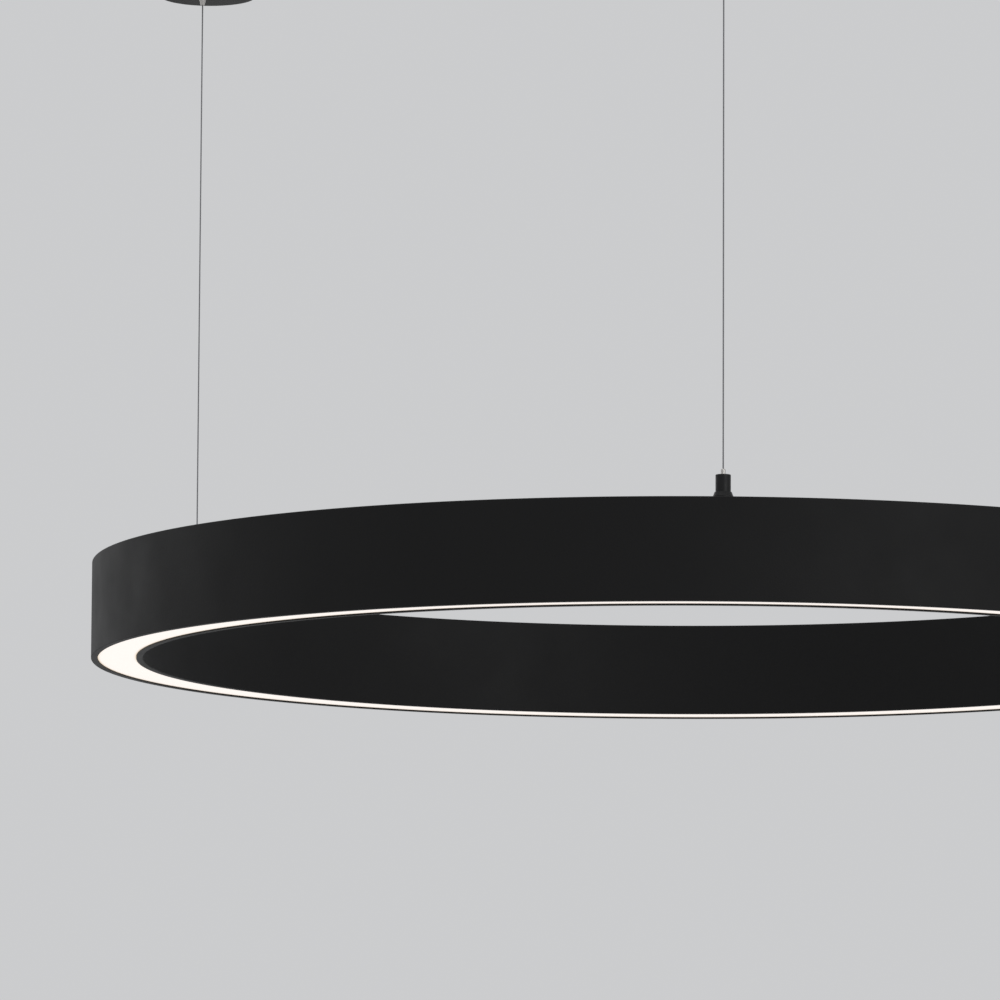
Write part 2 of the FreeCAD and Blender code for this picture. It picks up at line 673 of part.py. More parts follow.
def wire_stop(index):
    """The ferrule pressed on the wire's upper end, which hangs on the anchor's shoulder."""
    ferrule = disc(WIRE_STOP_DIAMETER / 2, STOP_SEAT, STOP_TOP).cut(disc(WIRE_RADIUS, STOP_SEAT, STOP_TOP))
    return set_round(ferrule, RING_MIDDLE, WIRE_ANGLES[index])


# ---------------------------------------------------------------- ceiling fittings


def ceiling_plate(index):
    """A pressed steel plate on the ceiling. Its flange takes the canopy, and the boss takes the
    wire anchor, which stands off the plate's middle."""
    inner = PLATE_RADIUS - PLATE_FLANGE_WALL
    plate = turned(
        [
            (0, -PLATE_THICKNESS),
            (inner, -PLATE_THICKNESS),
            (inner, -PLATE_FLANGE_HEIGHT),
            (PLATE_RADIUS, -PLATE_FLANGE_HEIGHT),
            (PLATE_RADIUS, 0),
            (0, 0),
        ]
    )
    boss = disc(BOSS_DIAMETER / 2, -PLATE_THICKNESS - BOSS_HEIGHT, -PLATE_THICKNESS, CANOPY_OFFSET)
    thread = ANCHOR_THREAD_DIAMETER / 2 + ANCHOR_THREAD_FIT
    holes = [disc(thread, -PLATE_THICKNESS - BOSS_HEIGHT, -ANCHOR_TOP_LEVEL, CANOPY_OFFSET)]
    for i in range(PLATE_HOLE_COUNT):
        turn = math.radians(PLATE_FIRST_HOLE + i * 360.0 / PLATE_HOLE_COUNT)
        reach = PLATE_HOLE_CIRCLE / 2
        x = reach * math.cos(turn)
        y = reach * math.sin(turn)
        holes.append(disc(PLATE_HOLE_DIAMETER / 2, -PLATE_THICKNESS, 0, x, y))
    if index == FEED_WIRE:
        holes.append(disc(FEED_ENTRY_DIAMETER / 2, -PLATE_THICKNESS, 0, -FEED_ENTRY_OFFSET))
    plate = fuse_all([plate, boss]).cut(Part.makeCompound(holes))
    return set_round(plate, CANOPY_CENTRE, WIRE_ANGLES[index])


def wire_anchor(index):
    """A turned holder. The wire's stop hangs in its top, and its cone shows below the canopy."""
    thread = ANCHOR_THREAD_DIAMETER / 2
    shank = ANCHOR_SHANK_DIAMETER / 2
    pocket = WIRE_STOP_DIAMETER / 2 + ANCHOR_STOP_CLEARANCE
    boss_bottom = -PLATE_THICKNESS - BOSS_HEIGHT
    anchor = turned(
        [
            (pocket, STOP_SEAT),
            (pocket, -ANCHOR_TOP_LEVEL),
            (thread, -ANCHOR_TOP_LEVEL),
            (thread, boss_bottom),
            (shank, boss_bottom),
            (shank, CANOPY_FACE),
            (ANCHOR_TIP_DIAMETER / 2, ANCHOR_TIP),
            (WIRE_BORE, ANCHOR_TIP),
            (WIRE_BORE, STOP_SEAT),
        ]
    )
    return set_round(anchor, RING_MIDDLE, WIRE_ANGLES[index])


def cup(radius, bottom, top, corner):
    """A round block with its lower edge rounded."""
    body = disc(radius, bottom, top)
    edges = [e for e in body.Edges if e.BoundBox.ZMax < bottom + corner / 2 and e.Closed]
    return body.makeFillet(corner, edges)


def grub(outer, inner, radius, side):
    """A short cylinder along Y through the canopy's wall, on one side of it."""
    direction = vector(0, side, 0)
    return Part.makeCylinder(radius, outer - inner, vector(0, side * inner, -GRUB_LEVEL), direction)


def canopy_cover(index):
    """A spun cup over the plate. The anchor's shank goes through it, off the middle."""
    cover = cup(CANOPY_RADIUS, CANOPY_FACE, -CANOPY_CEILING_GAP, CANOPY_CORNER)
    hollow = cup(
        CANOPY_RADIUS - CANOPY_WALL,
        CANOPY_FACE + CANOPY_WALL,
        -CANOPY_CEILING_GAP,
        CANOPY_BEND,
    )
    bore = ANCHOR_SHANK_DIAMETER / 2 + ANCHOR_HOLE_CLEARANCE
    holes = [hollow, disc(bore, CANOPY_FACE, CANOPY_FACE + CANOPY_WALL, CANOPY_OFFSET)]
    grub_hole = SCREW_DIAMETER / 2 + SCREW_FIT
    holes += [grub(CANOPY_RADIUS, PLATE_RADIUS, grub_hole, side) for side in (-1, 1)]
    if index == FEED_WIRE:
        gland_hole = GLAND_THREAD_DIAMETER / 2 + GLAND_THREAD_FIT
        x = CANOPY_OFFSET - FEED_OFFSET
        holes.append(disc(gland_hole, CANOPY_FACE, CANOPY_FACE + CANOPY_WALL, x))
    for hole in holes:
        cover = cover.cut(hole)
    return set_round(cover, CANOPY_CENTRE, WIRE_ANGLES[index])


def canopy_screws(index):
    """Two grub screws in the canopy's wall, which press on the plate's flange."""
    outer = CANOPY_RADIUS - GRUB_RECESS
    inner = PLATE_RADIUS + GRUB_GAP
    screws = Part.makeCompound([grub(outer, inner, SCREW_DIAMETER / 2, side) for side in (-1, 1)])
    return set_round(screws, CANOPY_CENTRE, WIRE_ANGLES[index])


def gland(panel):
    """A cable gland about the vertical axis, on top of a panel from z = -panel to 0, with its
    nut below. The lead's bore runs right through."""
    flange = hexagon(GLAND_DIAMETER, 0, GLAND_FLANGE_HEIGHT)
    cap_top = GLAND_FLANGE_HEIGHT + GLAND_CAP_HEIGHT
    cap = turned(
        [
            (0, GLAND_FLANGE_HEIGHT),
            (GLAND_DIAMETER / 2, GLAND_FLANGE_HEIGHT),
            (GLAND_CAP_TIP_DIAMETER / 2, cap_top),
            (0, cap_top),
        ]
    )
    thread = disc(GLAND_THREAD_DIAMETER / 2, -GLAND_THREAD_LENGTH, 0)
    bore = disc(LEAD_BORE_DIAMETER / 2, -GLAND_THREAD_LENGTH, cap_top)
    body = fuse_all([flange, cap, thread]).cut(bore)
    nut = hexagon(GLAND_DIAMETER, -panel - GLAND_NUT_HEIGHT, -panel)
    nut = nut.cut(disc(GLAND_THREAD_DIAMETER / 2, -panel - GLAND_NUT_HEIGHT, -panel))
    return Part.makeCompound([body, nut])


def ring_gland():
    """The lead's way into the ring, on the cover beside the feed wire."""
    return set_round(moved(gland(COVER_THICKNESS), 0, 0, RING_TOP), RING_MIDDLE, ring_gland_angle())


def canopy_gland():
    """The lead's way out of the feed wire's canopy, facing down."""
    down = gland(CANOPY_WALL)
    down.rotate(vector(0, 0, 0), vector(1, 0, 0), 180)
    return set_round(moved(down, 0, 0, CANOPY_FACE), FEED_GLAND_RADIUS, WIRE_ANGLES[FEED_WIRE])


def ceiling_terminal_block():
    bottom = -PLATE_THICKNESS - CEILING_TERMINAL_HEIGHT
    body = terminal_block(
        CEILING_TERMINAL_LENGTH, CEILING_TERMINAL_WIDTH, bottom, -PLATE_THICKNESS, False
    )
    placed = moved(body, CEILING_TERMINAL_OFFSET, 0)
    return set_round(placed, CANOPY_CENTRE, WIRE_ANGLES[FEED_WIRE])


# ---------------------------------------------------------------- all nodes

SINGLES = {
    "ring_housing": ring_housing,
    "diffuser": diffuser,
    "cover_screws": cover_screws,
    "bridge_screws": bridge_screws,
    "driver_screws": driver_screws,
    "driver_cables": driver_cables,
    "ring_terminal_block": ring_terminal_block,
    "ring_gland": ring_gland,
    "canopy_gland": canopy_gland,
    "ceiling_terminal_block": ceiling_terminal_block,
}

ONE_PER_WIRE = {
    "top_cover": top_cover,
    "bridge": bridge,
    "driver": driver,
    "gripper_base": gripper_base,
    "gripper_sleeve": gripper_sleeve,
    "gripper_plunger": gripper_plunger,
    "gripper_balls": gripper_balls,
    "gripper_spring": gripper_spring,
    "wire": wire,
    "wire_stop": wire_stop,
    "ceiling_plate": ceiling_plate,
    "wire_anchor": wire_anchor,
    "canopy_cover": canopy_cover,
    "canopy_screws": canopy_screws,
}

os.makedirs("parts", exist_ok=True)
for node, make in SINGLES.items():
    make().exportStep(f"parts/{node}.step")
for number in range(WIRE_COUNT):
    for node, make in ONE_PER_WIRE.items():
        make(number).exportStep(f"parts/{node}_{number + 1}.step")
for number in range(BOARD_COUNT):
    led_board(number).exportStep(f"parts/led_board_{number + 1}.step")
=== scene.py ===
import math

import bmesh
import bpy
from mathutils import Matrix, Vector


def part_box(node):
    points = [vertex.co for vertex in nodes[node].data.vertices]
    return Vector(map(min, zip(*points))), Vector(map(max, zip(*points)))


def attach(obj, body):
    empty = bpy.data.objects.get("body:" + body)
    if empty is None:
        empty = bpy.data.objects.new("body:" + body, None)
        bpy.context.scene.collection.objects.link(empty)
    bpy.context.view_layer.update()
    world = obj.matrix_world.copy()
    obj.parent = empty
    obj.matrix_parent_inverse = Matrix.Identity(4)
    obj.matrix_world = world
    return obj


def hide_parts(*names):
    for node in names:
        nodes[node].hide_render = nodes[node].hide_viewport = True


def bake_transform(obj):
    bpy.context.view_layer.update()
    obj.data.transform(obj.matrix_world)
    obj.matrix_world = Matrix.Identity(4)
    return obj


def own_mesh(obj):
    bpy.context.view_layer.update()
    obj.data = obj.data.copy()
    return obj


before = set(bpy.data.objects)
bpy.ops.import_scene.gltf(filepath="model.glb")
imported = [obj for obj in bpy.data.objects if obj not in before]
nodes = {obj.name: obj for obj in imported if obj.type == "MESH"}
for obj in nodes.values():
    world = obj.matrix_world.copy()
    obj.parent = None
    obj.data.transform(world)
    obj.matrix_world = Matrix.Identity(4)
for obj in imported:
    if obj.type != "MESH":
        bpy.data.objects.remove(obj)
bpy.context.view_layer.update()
WIRES = (1, 2, 3)

# ---------------------------------------------------------------- camera
# A long lens below the ring and a little left of its middle. It looks slightly up, so the far
# side shows its inner wall under the near side, and the lit strip runs round both.
CAMERA_PLACE = (-0.3612, -5.7462, -1.2152)
CAMERA_TURN = math.radians(-2.042)
CAMERA_RISE = math.radians(7.064)
CAMERA_ROLL = math.radians(0.294)
SENSOR_WIDTH = 36.0
LENS_LENGTH = 246.58

camera = bpy.data.objects.new("camera", bpy.data.cameras.new("camera"))
bpy.context.scene.collection.objects.link(camera)
bpy.context.scene.camera = camera
camera.data.sensor_width = SENSOR_WIDTH
camera.data.lens = LENS_LENGTH
camera.matrix_world = (
    Matrix.Translation(CAMERA_PLACE)
    @ Matrix.Rotation(CAMERA_TURN, 4, "Z")
    @ Matrix.Rotation(math.pi / 2 + CAMERA_RISE, 4, "X")
    @ Matrix.Rotation(CAMERA_ROLL, 4, "Z")
)

# ---------------------------------------------------------------- wires
# Bare steel ropes of 1.2 mm, six strands laid round a core. Each hangs from its stop in the
# anchor, is pulled straight by the ring, and ends 20 mm below the gripper, inside the ring.
WIRE_DIAMETER = 0.0012
STRAND_COUNT = 6
STRANDS_ACROSS = 3
STRAND_RADIUS = WIRE_DIAMETER / STRANDS_ACROSS / 2
LAY_LENGTH = 0.010
STEPS_PER_LAY = 14
STRAND_SIDES = 6
ROPE_COLOUR = (0.26, 0.26, 0.27)
NOISE_LOW = 0.3
NOISE_HIGH = 0.7


def feed(tree, socket, value):
    """Gives a socket a constant, or links it to another node's output."""
    if isinstance(value, bpy.types.NodeSocket):
        tree.links.new(value, socket)
    else:
        socket.default_value = value


def put(tree, kind, settings=None, **inputs):
    """Adds a node. An underscore in an input's name stands for a space."""
    node = tree.nodes.new(kind)
    for name, value in (settings or {}).items():
        setattr(node, name, value)
    for name, value in inputs.items():
        feed(tree, node.inputs[name.replace("_", " ")], value)
    return node


def calc(tree, operation, *values):
    """The output of a Math node with those values."""
    node = tree.nodes.new("ShaderNodeMath")
    node.operation = operation
    for socket, value in zip(node.inputs, values):
        feed(tree, socket, value)
    return node.outputs[0]


def new_tree(name, sizes):
    """A Geometry Nodes tree, which takes a geometry, a material and named sizes."""
    tree = bpy.data.node_groups.new(name, "GeometryNodeTree")
    tree.interface.new_socket("Result", in_out="OUTPUT", socket_type="NodeSocketGeometry")
    tree.interface.new_socket("Start", in_out="INPUT", socket_type="NodeSocketGeometry")
    tree.interface.new_socket("Finish", in_out="INPUT", socket_type="NodeSocketMaterial")
    for size, kind in sizes.items():
        tree.interface.new_socket(size, in_out="INPUT", socket_type=f"NodeSocket{kind}")
    return tree, tree.nodes.new("NodeGroupInput").outputs


def close_tree(tree, made, given):
    """Ends a tree: smooth faces, realized instances and the material."""
    smooth = put(tree, "GeometryNodeSetShadeSmooth", Geometry=made)
    real = put(tree, "GeometryNodeRealizeInstances", Geometry=smooth.outputs["Geometry"])
    painted = put(
        tree, "GeometryNodeSetMaterial", Geometry=real.outputs["Geometry"], Material=given["Finish"]
    )
    end = tree.nodes.new("NodeGroupOutput")
    tree.links.new(painted.outputs["Geometry"], end.inputs["Result"])
    return tree


def grow(name, start, tree, **values):
    """Runs a tree on an object's data, and gives the plain mesh object that comes out."""
    carrier = bpy.data.objects.new(name + "_start", start)
    bpy.context.scene.collection.objects.link(carrier)
    modifier = carrier.modifiers.new("grow", "NODES")
    modifier.node_group = tree
    for socket in tree.interface.items_tree:
        key = socket.name.replace(" ", "_")
        if socket.in_out == "INPUT" and key in values:
            modifier[socket.identifier] = values[key]
    graph = bpy.context.evaluated_depsgraph_get()
    mesh = bpy.data.meshes.new_from_object(carrier.evaluated_get(graph))
    bpy.data.objects.remove(carrier)
    piece = bpy.data.objects.new(name, mesh)
    bpy.context.scene.collection.objects.link(piece)
    return piece


def new_finish(name, colour, roughness, metallic=0.0):
    """A material with one shader of an even colour, and the coordinates for its texture."""
    material = bpy.data.materials.new(name)
    material.use_nodes = True
    tree = material.node_tree
    shader = tree.nodes["Principled BSDF"]
    shader.inputs["Base Color"].default_value = (*colour, 1.0)
    shader.inputs["Roughness"].default_value = roughness
    shader.inputs["Metallic"].default_value = metallic
    place = tree.nodes.new("ShaderNodeTexCoord").outputs["Object"]
    return material, tree, shader, place


def vary(tree, place, grain, low, high, detail=3.0):
    """A noise of that grain, in metres. The range where most of it lies is spread from a low to a
    high value."""
    noise = put(tree, "ShaderNodeTexNoise", Vector=place, Scale=1.0 / grain, Detail=detail)
    spread = put(
        tree,
        "ShaderNodeMapRange",
        Value=noise.outputs["Fac"],
        From_Min=NOISE_LOW,
        From_Max=NOISE_HIGH,
        To_Min=low,
        To_Max=high,
    )
    return spread.outputs["Result"]


def roughen(tree, shader, height, depth):
    """A bump of that depth, in metres, on a shader."""
    bump = put(tree, "ShaderNodeBump", Height=height, Distance=depth, Strength=1.0)
    tree.links.new(bump.outputs["Normal"], shader.inputs["Normal"])


def rope_steel():
    """Drawn steel, dulled by its oil."""
    material, tree, shader, place = new_finish(
        "rope_steel", ROPE_COLOUR, roughness=0.55, metallic=1.0
    )
    dulled = vary(tree, place, grain=0.0015, low=0.48, high=0.62)
    tree.links.new(dulled, shader.inputs["Roughness"])
    return material


def rope_tree():
    """Strands laid round a straight upright path, with one more as their core."""
    sizes = {
        "Strands": "Int",
        "Strand Radius": "Float",
        "Lay": "Float",
        "Steps": "Int",
        "Sides": "Int",
    }
    tree, given = new_tree("rope", sizes)
    path = put(tree, "GeometryNodeResampleCurve", Curve=given["Start"], Count=given["Steps"])
    copies = put(
        tree,
        "GeometryNodeDuplicateElements",
        {"domain": "SPLINE"},
        Geometry=path.outputs["Curve"],
        Amount=given["Strands"],
    )
    along = tree.nodes.new("GeometryNodeSplineParameter").outputs["Length"]
    share = calc(tree, "DIVIDE", copies.outputs["Duplicate Index"], given["Strands"])
    turns = calc(tree, "ADD", share, calc(tree, "DIVIDE", along, given["Lay"]))
    angle = calc(tree, "MULTIPLY", turns, 2 * math.pi)
    reach = calc(tree, "MULTIPLY", given["Strand Radius"], 2.0)
    offset = put(
        tree,
        "ShaderNodeCombineXYZ",
        X=calc(tree, "MULTIPLY", reach, calc(tree, "COSINE", angle)),
        Y=calc(tree, "MULTIPLY", reach, calc(tree, "SINE", angle)),
    )
    laid = put(
        tree,
        "GeometryNodeSetPosition",
        Geometry=copies.outputs["Geometry"],
        Offset=offset.outputs["Vector"],
    )
    section = put(
        tree,
        "GeometryNodeCurvePrimitiveCircle",
        Resolution=given["Sides"],
        Radius=given["Strand Radius"],
    )
    both = tree.nodes.new("GeometryNodeJoinGeometry")
    for line in (laid.outputs["Geometry"], path.outputs["Curve"]):
        tube = put(
            tree,
            "GeometryNodeCurveToMesh",
            Curve=line,
            Profile_Curve=section.outputs["Curve"],
            Fill_Caps=True,
        )
        tree.links.new(tube.outputs["Mesh"], both.inputs["Geometry"])
    return close_tree(tree, both.outputs["Geometry"], given)


def wire_route(name, points):
    """The smooth line of a wire, through its points."""
    line = bpy.data.curves.new(name, "CURVE")
    line.dimensions = "3D"
    spline = line.splines.new("NURBS")
    spline.points.add(len(points) - 1)
    for place, point in zip(spline.points, points):
        place.co = (*point, 1.0)
    spline.order_u = 3
    spline.use_endpoint_u = True
    return line


def line_points(line):
    """The points that a curve without a bevel follows."""
    carrier = bpy.data.objects.new("line", line)
    bpy.context.scene.collection.objects.link(carrier)
    graph = bpy.context.evaluated_depsgraph_get()
    mesh = bpy.data.meshes.new_from_object(carrier.evaluated_get(graph))
    points = [vertex.co.copy() for vertex in mesh.vertices]
    bpy.data.objects.remove(carrier)
    return points


steel_rope = rope_steel()
rope = rope_tree()
for number in WIRES:
    low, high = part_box(f"wire_{number}")
    axis = (low + high) / 2
    wire_top = Vector((axis.x, axis.y, high.z))
    wire_end = Vector((axis.x, axis.y, low.z))
    line = wire_route(f"wire_line_{number}", (wire_top, (wire_top + wire_end) / 2, wire_end))
    piece = grow(
        f"steel_rope_{number}",
        line,
        rope,
        Finish=steel_rope,
        Strands=STRAND_COUNT,
        Strand_Radius=STRAND_RADIUS,
        Lay=LAY_LENGTH,
        Steps=int((high.z - low.z) / LAY_LENGTH * STEPS_PER_LAY),
        Sides=STRAND_SIDES,
    )
    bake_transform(piece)
    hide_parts(f"wire_{number}")
    line_points(line)

# ---------------------------------------------------------------- ring housing
# An aluminium extrusion of H section, rolled into a circle. Its feet widen into the two rims that
# frame the light strip, the inner one a little higher. It is powder coated in a fine matt black.
RING_WIDTH = 0.0435
RING_WALL = 0.0025
EDGE_CHAMFER = 0.0005
RIM_WIDTH = 0.0055
RIM_HEIGHT = 0.005
INNER_RIM_RISE = 0.0008
CHAMBER_DEPTH = 0.030
WEB_THICKNESS = 0.0025
LEDGE_WIDTH = 0.007
LEDGE_THICKNESS = 0.003
COVER_THICKNESS = 0.002
RING_STEPS = 480
EDGE_ROUNDING = 0.00018
SHARP_ANGLE = math.radians(28)
COAT_COLOUR = (0.0042, 0.0042, 0.0044)
COAT_GLOSS = 0.18

housing_low, housing_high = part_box("ring_housing")
RING_OUTER = housing_high.x
RING_INNER = RING_OUTER - RING_WIDTH
RING_MIDDLE = (RING_OUTER + RING_INNER) / 2
RING_TOP = housing_high.z
RING_BOTTOM = housing_low.z


def powder_coat():
    """Matt black with the fine orange peel of a baked powder."""
    material, tree, shader, place = new_finish("powder_coat", COAT_COLOUR, roughness=0.57)
    shader.inputs["Specular IOR Level"].default_value = COAT_GLOSS
    clouds = vary(tree, place, grain=0.055, low=0.53, high=0.61)
    tree.links.new(clouds, shader.inputs["Roughness"])
    peel = vary(tree, place, grain=0.0013, low=0.0, high=1.0, detail=1.0)
    roughen(tree, shader, peel, depth=0.00003)
    return material


def rolled_tree():
    """An outline drawn about the ring's middle line, swept once round the ring."""
    tree, given = new_tree("rolled_profile", {"Radius": "Float", "Steps": "Int"})
    circle = put(
        tree, "GeometryNodeCurvePrimitiveCircle", Resolution=given["Steps"], Radius=given["Radius"]
    )
    sweep = put(
        tree, "GeometryNodeCurveToMesh", Curve=circle.outputs["Curve"], Profile_Curve=given["Start"]
    )
    return close_tree(tree, sweep.outputs["Mesh"], given)


def soften(piece, width, segments=2):
    """Rounds a piece's sharp edges a little, and keeps its broad faces flat in the light."""
    bevel = piece.modifiers.new("rounded_edges", "BEVEL")
    bevel.width = width
    bevel.segments = segments
    bevel.limit_method = "ANGLE"
    bevel.angle_limit = SHARP_ANGLE
    piece.modifiers.new("flat_faces", "WEIGHTED_NORMAL")
    return piece


def roll(name, outline, finish):
    """A closed (radius, height) outline, given anticlockwise, rolled into a ring."""
    flat = bpy.data.curves.new(name + "_outline", "CURVE")
    flat.dimensions = "3D"
    spline = flat.splines.new("POLY")
    spline.points.add(len(outline) - 1)
    # The sweep turns the heights over, so the outline runs backwards for its faces to look out.
    for corner, (radius, height) in zip(spline.points, reversed(outline)):
        corner.co = (radius - RING_MIDDLE, -height, 0.0, 1.0)
    spline.use_cyclic_u = True
    piece = grow(name, flat, rolled, Finish=finish, Radius=RING_MIDDLE, Steps=RING_STEPS)
    return soften(piece, EDGE_ROUNDING)


def housing_outline():
    """The extrusion's section: two walls with their ledges and rims, joined by the web."""
    outer_wall = RING_OUTER - RING_WALL
    inner_wall = RING_INNER + RING_WALL
    web_low = RING_BOTTOM + CHAMBER_DEPTH
    web_high = web_low + WEB_THICKNESS
    ledge_high = RING_TOP - COVER_THICKNESS
    ledge_low = ledge_high - LEDGE_THICKNESS
    rim_high = RING_BOTTOM + RIM_HEIGHT
    inner_low = RING_BOTTOM + INNER_RIM_RISE
    return [
        (RING_OUTER - EDGE_CHAMFER, RING_BOTTOM),
        (RING_OUTER, RING_BOTTOM + EDGE_CHAMFER),
        (RING_OUTER, RING_TOP - EDGE_CHAMFER),
        (RING_OUTER - EDGE_CHAMFER, RING_TOP),
        (outer_wall, RING_TOP),
        (outer_wall, ledge_high),
        (outer_wall - LEDGE_WIDTH, ledge_high),
        (outer_wall - LEDGE_WIDTH, ledge_low),
        (outer_wall, ledge_low),
        (outer_wall, web_high),
        (inner_wall, web_high),
        (inner_wall, ledge_low),
        (inner_wall + LEDGE_WIDTH, ledge_low),
        (inner_wall + LEDGE_WIDTH, ledge_high),
        (inner_wall, ledge_high),
        (inner_wall, RING_TOP),
        (RING_INNER + EDGE_CHAMFER, RING_TOP),
        (RING_INNER, RING_TOP - EDGE_CHAMFER),
        (RING_INNER, inner_low + EDGE_CHAMFER),
        (RING_INNER + EDGE_CHAMFER, inner_low),
        (RING_INNER + RIM_WIDTH, inner_low),
        (RING_INNER + RIM_WIDTH, rim_high),
        (inner_wall, rim_high),
        (inner_wall, web_low),
        (outer_wall, web_low),
        (outer_wall, rim_high),
        (RING_OUTER - RIM_WIDTH, rim_high),
        (RING_OUTER - RIM_WIDTH, RING_BOTTOM),
    ]


black_coat = powder_coat()
rolled = rolled_tree()
housing = roll("black_ring", housing_outline(), black_coat)
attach(housing, "ring")
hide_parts("ring_housing")

# ---------------------------------------------------------------- light strip
# An opal acrylic channel snapped between the rims, set back 1.2 mm from them and leaning as they
# do. It is lit from behind and glows warm white, a shade warmer where it meets the rims.
STRIP_RECESS = 0.0012
STRIP_FACE = 0.002
STRIP_LEG = 0.0016
STRIP_FIT = 0.00015
BARB_REACH = 0.001
BARB_HEIGHT = 0.0015
OPAL_COLOUR = (0.34, 0.34, 0.33)
GLOW_COLOUR = (1.0, 0.905, 0.835)
GLOW_STRENGTH = 0.73
EDGE_GLOW_COLOUR = (0.80, 0.62, 0.40)
EDGE_GLOW_WIDTH = 0.0022


def lit_opal():
    """Acrylic that glows. The light is warmer and weaker close to the strip's two edges."""
    material, tree, shader, place = new_finish("lit_opal", OPAL_COLOUR, roughness=0.36)
    shader.inputs["Emission Strength"].default_value = GLOW_STRENGTH
    part = put(tree, "ShaderNodeSeparateXYZ", Vector=place)
    across = calc(tree, "MULTIPLY", part.outputs["X"], part.outputs["X"])
    deep = calc(tree, "MULTIPLY", part.outputs["Y"], part.outputs["Y"])
    radius = calc(tree, "SQRT", calc(tree, "ADD", across, deep))
    off_middle = calc(tree, "ABSOLUTE", calc(tree, "SUBTRACT", radius, RING_MIDDLE))
    half = RING_WIDTH / 2 - RIM_WIDTH
    edge = put(
        tree,
        "ShaderNodeMapRange",
        Value=off_middle,
        From_Min=half - EDGE_GLOW_WIDTH,
        From_Max=half,
    )
    glow = tree.nodes.new("ShaderNodeValToRGB")
    glow.color_ramp.elements[0].color = (*GLOW_COLOUR, 1.0)
    glow.color_ramp.elements[1].color = (*EDGE_GLOW_COLOUR, 1.0)
    tree.links.new(edge.outputs["Result"], glow.inputs["Fac"])
    tree.links.new(glow.outputs["Color"], shader.inputs["Emission Color"])
    roughen(tree, shader, vary(tree, place, grain=0.0008, low=0.0, high=1.0), depth=0.000006)
    return material


def strip_outline():
    """The channel's section: its leaning face, and two legs whose barbs hook over the rims."""
    outer = RING_OUTER - RIM_WIDTH - STRIP_FIT
    inner = RING_INNER + RIM_WIDTH + STRIP_FIT
    face = RING_BOTTOM + STRIP_RECESS
    back = face + STRIP_FACE
    seat = RING_BOTTOM + RIM_HEIGHT
    tip = seat + BARB_HEIGHT
    return [
        (inner, face + INNER_RIM_RISE),
        (outer, face),
        (outer, seat),
        (outer + BARB_REACH, seat),
        (outer, tip),
        (outer - STRIP_LEG, tip),
        (outer - STRIP_LEG, back),
        (inner + STRIP_LEG, back + INNER_RIM_RISE),
        (inner + STRIP_LEG, tip),
        (inner, tip),
        (inner - BARB_REACH, seat),
        (inner, seat),
    ]


strip = roll("light_strip", strip_outline(), lit_opal())
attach(strip, "ring")
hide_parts("diffuser")

# ---------------------------------------------------------------- covers and their screws
# Three aluminium strips close the top of the ring, in the same black coat. Each is held at its
# two ends by pairs of black countersunk screws with a hexagon socket.
SCREW_DIAMETER = 0.003
SCREW_HEAD = 0.0056
SCREW_HEAD_HEIGHT = 0.0015
SCREW_END = 0.001
SOCKET_WIDTH = 0.002
SOCKET_DEPTH = 0.0011
SCREW_STEPS = 24
HEXAGON = True
HEXAGON_STEP = math.pi / 3
SAME_PLACE = 1e-7
COVER_SCREW_INSET = 0.025
FIRST_WIRE_ANGLE = math.radians(-90)
BLACK_STEEL_COLOUR = (0.016, 0.016, 0.017)


def polar(radius, angle, height):
    """A point at that radius and angle from an upright axis, and at that height."""
    return (radius * math.cos(angle), radius * math.sin(angle), height)


def turned(name, outlines, steps=SCREW_STEPS):
    """A mesh of closed outlines of (radius, height) points turned about an upright axis. A third
    value makes a point's ring a hexagon, and its radius half the width across the flats."""
    shape = bmesh.new()
    for outline in outlines:
        rings = []
        for radius, height, *flats in outline:
            ring = []
            for i in range(steps):
                angle = 2 * math.pi * i / steps
                reach = radius
                if flats:
                    half_step = HEXAGON_STEP / 2
                    reach /= math.cos((angle + half_step) % HEXAGON_STEP - half_step)
                ring.append(shape.verts.new(polar(reach, angle, height)))
            rings.append(ring)
        for ring, next_ring in zip(rings, rings[1:] + rings[:1]):
            for i in range(steps):
                j = (i + 1) % steps
                shape.faces.new((ring[i], ring[j], next_ring[j], next_ring[i]))
    bmesh.ops.remove_doubles(shape, verts=shape.verts, dist=SAME_PLACE)
    bmesh.ops.dissolve_degenerate(shape, edges=shape.edges, dist=SAME_PLACE)
    bmesh.ops.recalc_face_normals(shape, faces=shape.faces)
    for face in shape.faces:
        face.smooth = True
    mesh = bpy.data.meshes.new(name)
    shape.to_mesh(mesh)
    shape.free()
    return mesh


def scatter_tree():
    """A piece set on each point of a mesh, and turned to face away from the ring's axis."""
    tree, given = new_tree("set_round", {"Piece": "Object"})
    source = put(tree, "GeometryNodeObjectInfo", Object=given["Piece"])
    site = tree.nodes.new("GeometryNodeInputPosition").outputs["Position"]
    part = put(tree, "ShaderNodeSeparateXYZ", Vector=site)
    angle = calc(tree, "ARCTAN2", part.outputs["Y"], part.outputs["X"])
    turn = put(tree, "ShaderNodeCombineXYZ", Z=angle)
    copies = put(
        tree,
        "GeometryNodeInstanceOnPoints",
        Points=given["Start"],
        Instance=source.outputs["Geometry"],
        Rotation=turn.outputs["Vector"],
    )
    return close_tree(tree, copies.outputs["Instances"], given)


def scatter(name, sites, mesh, finish):
    """Copies of a mesh at the sites, as one plain mesh."""
    points = bpy.data.meshes.new(name + "_sites")
    points.from_pydata(sites, [], [])
    pattern = bpy.data.objects.new(name + "_pattern", mesh)
    bpy.context.scene.collection.objects.link(pattern)
    piece = grow(name, points, set_round, Finish=finish, Piece=pattern)
    bpy.data.objects.remove(pattern)
    return piece


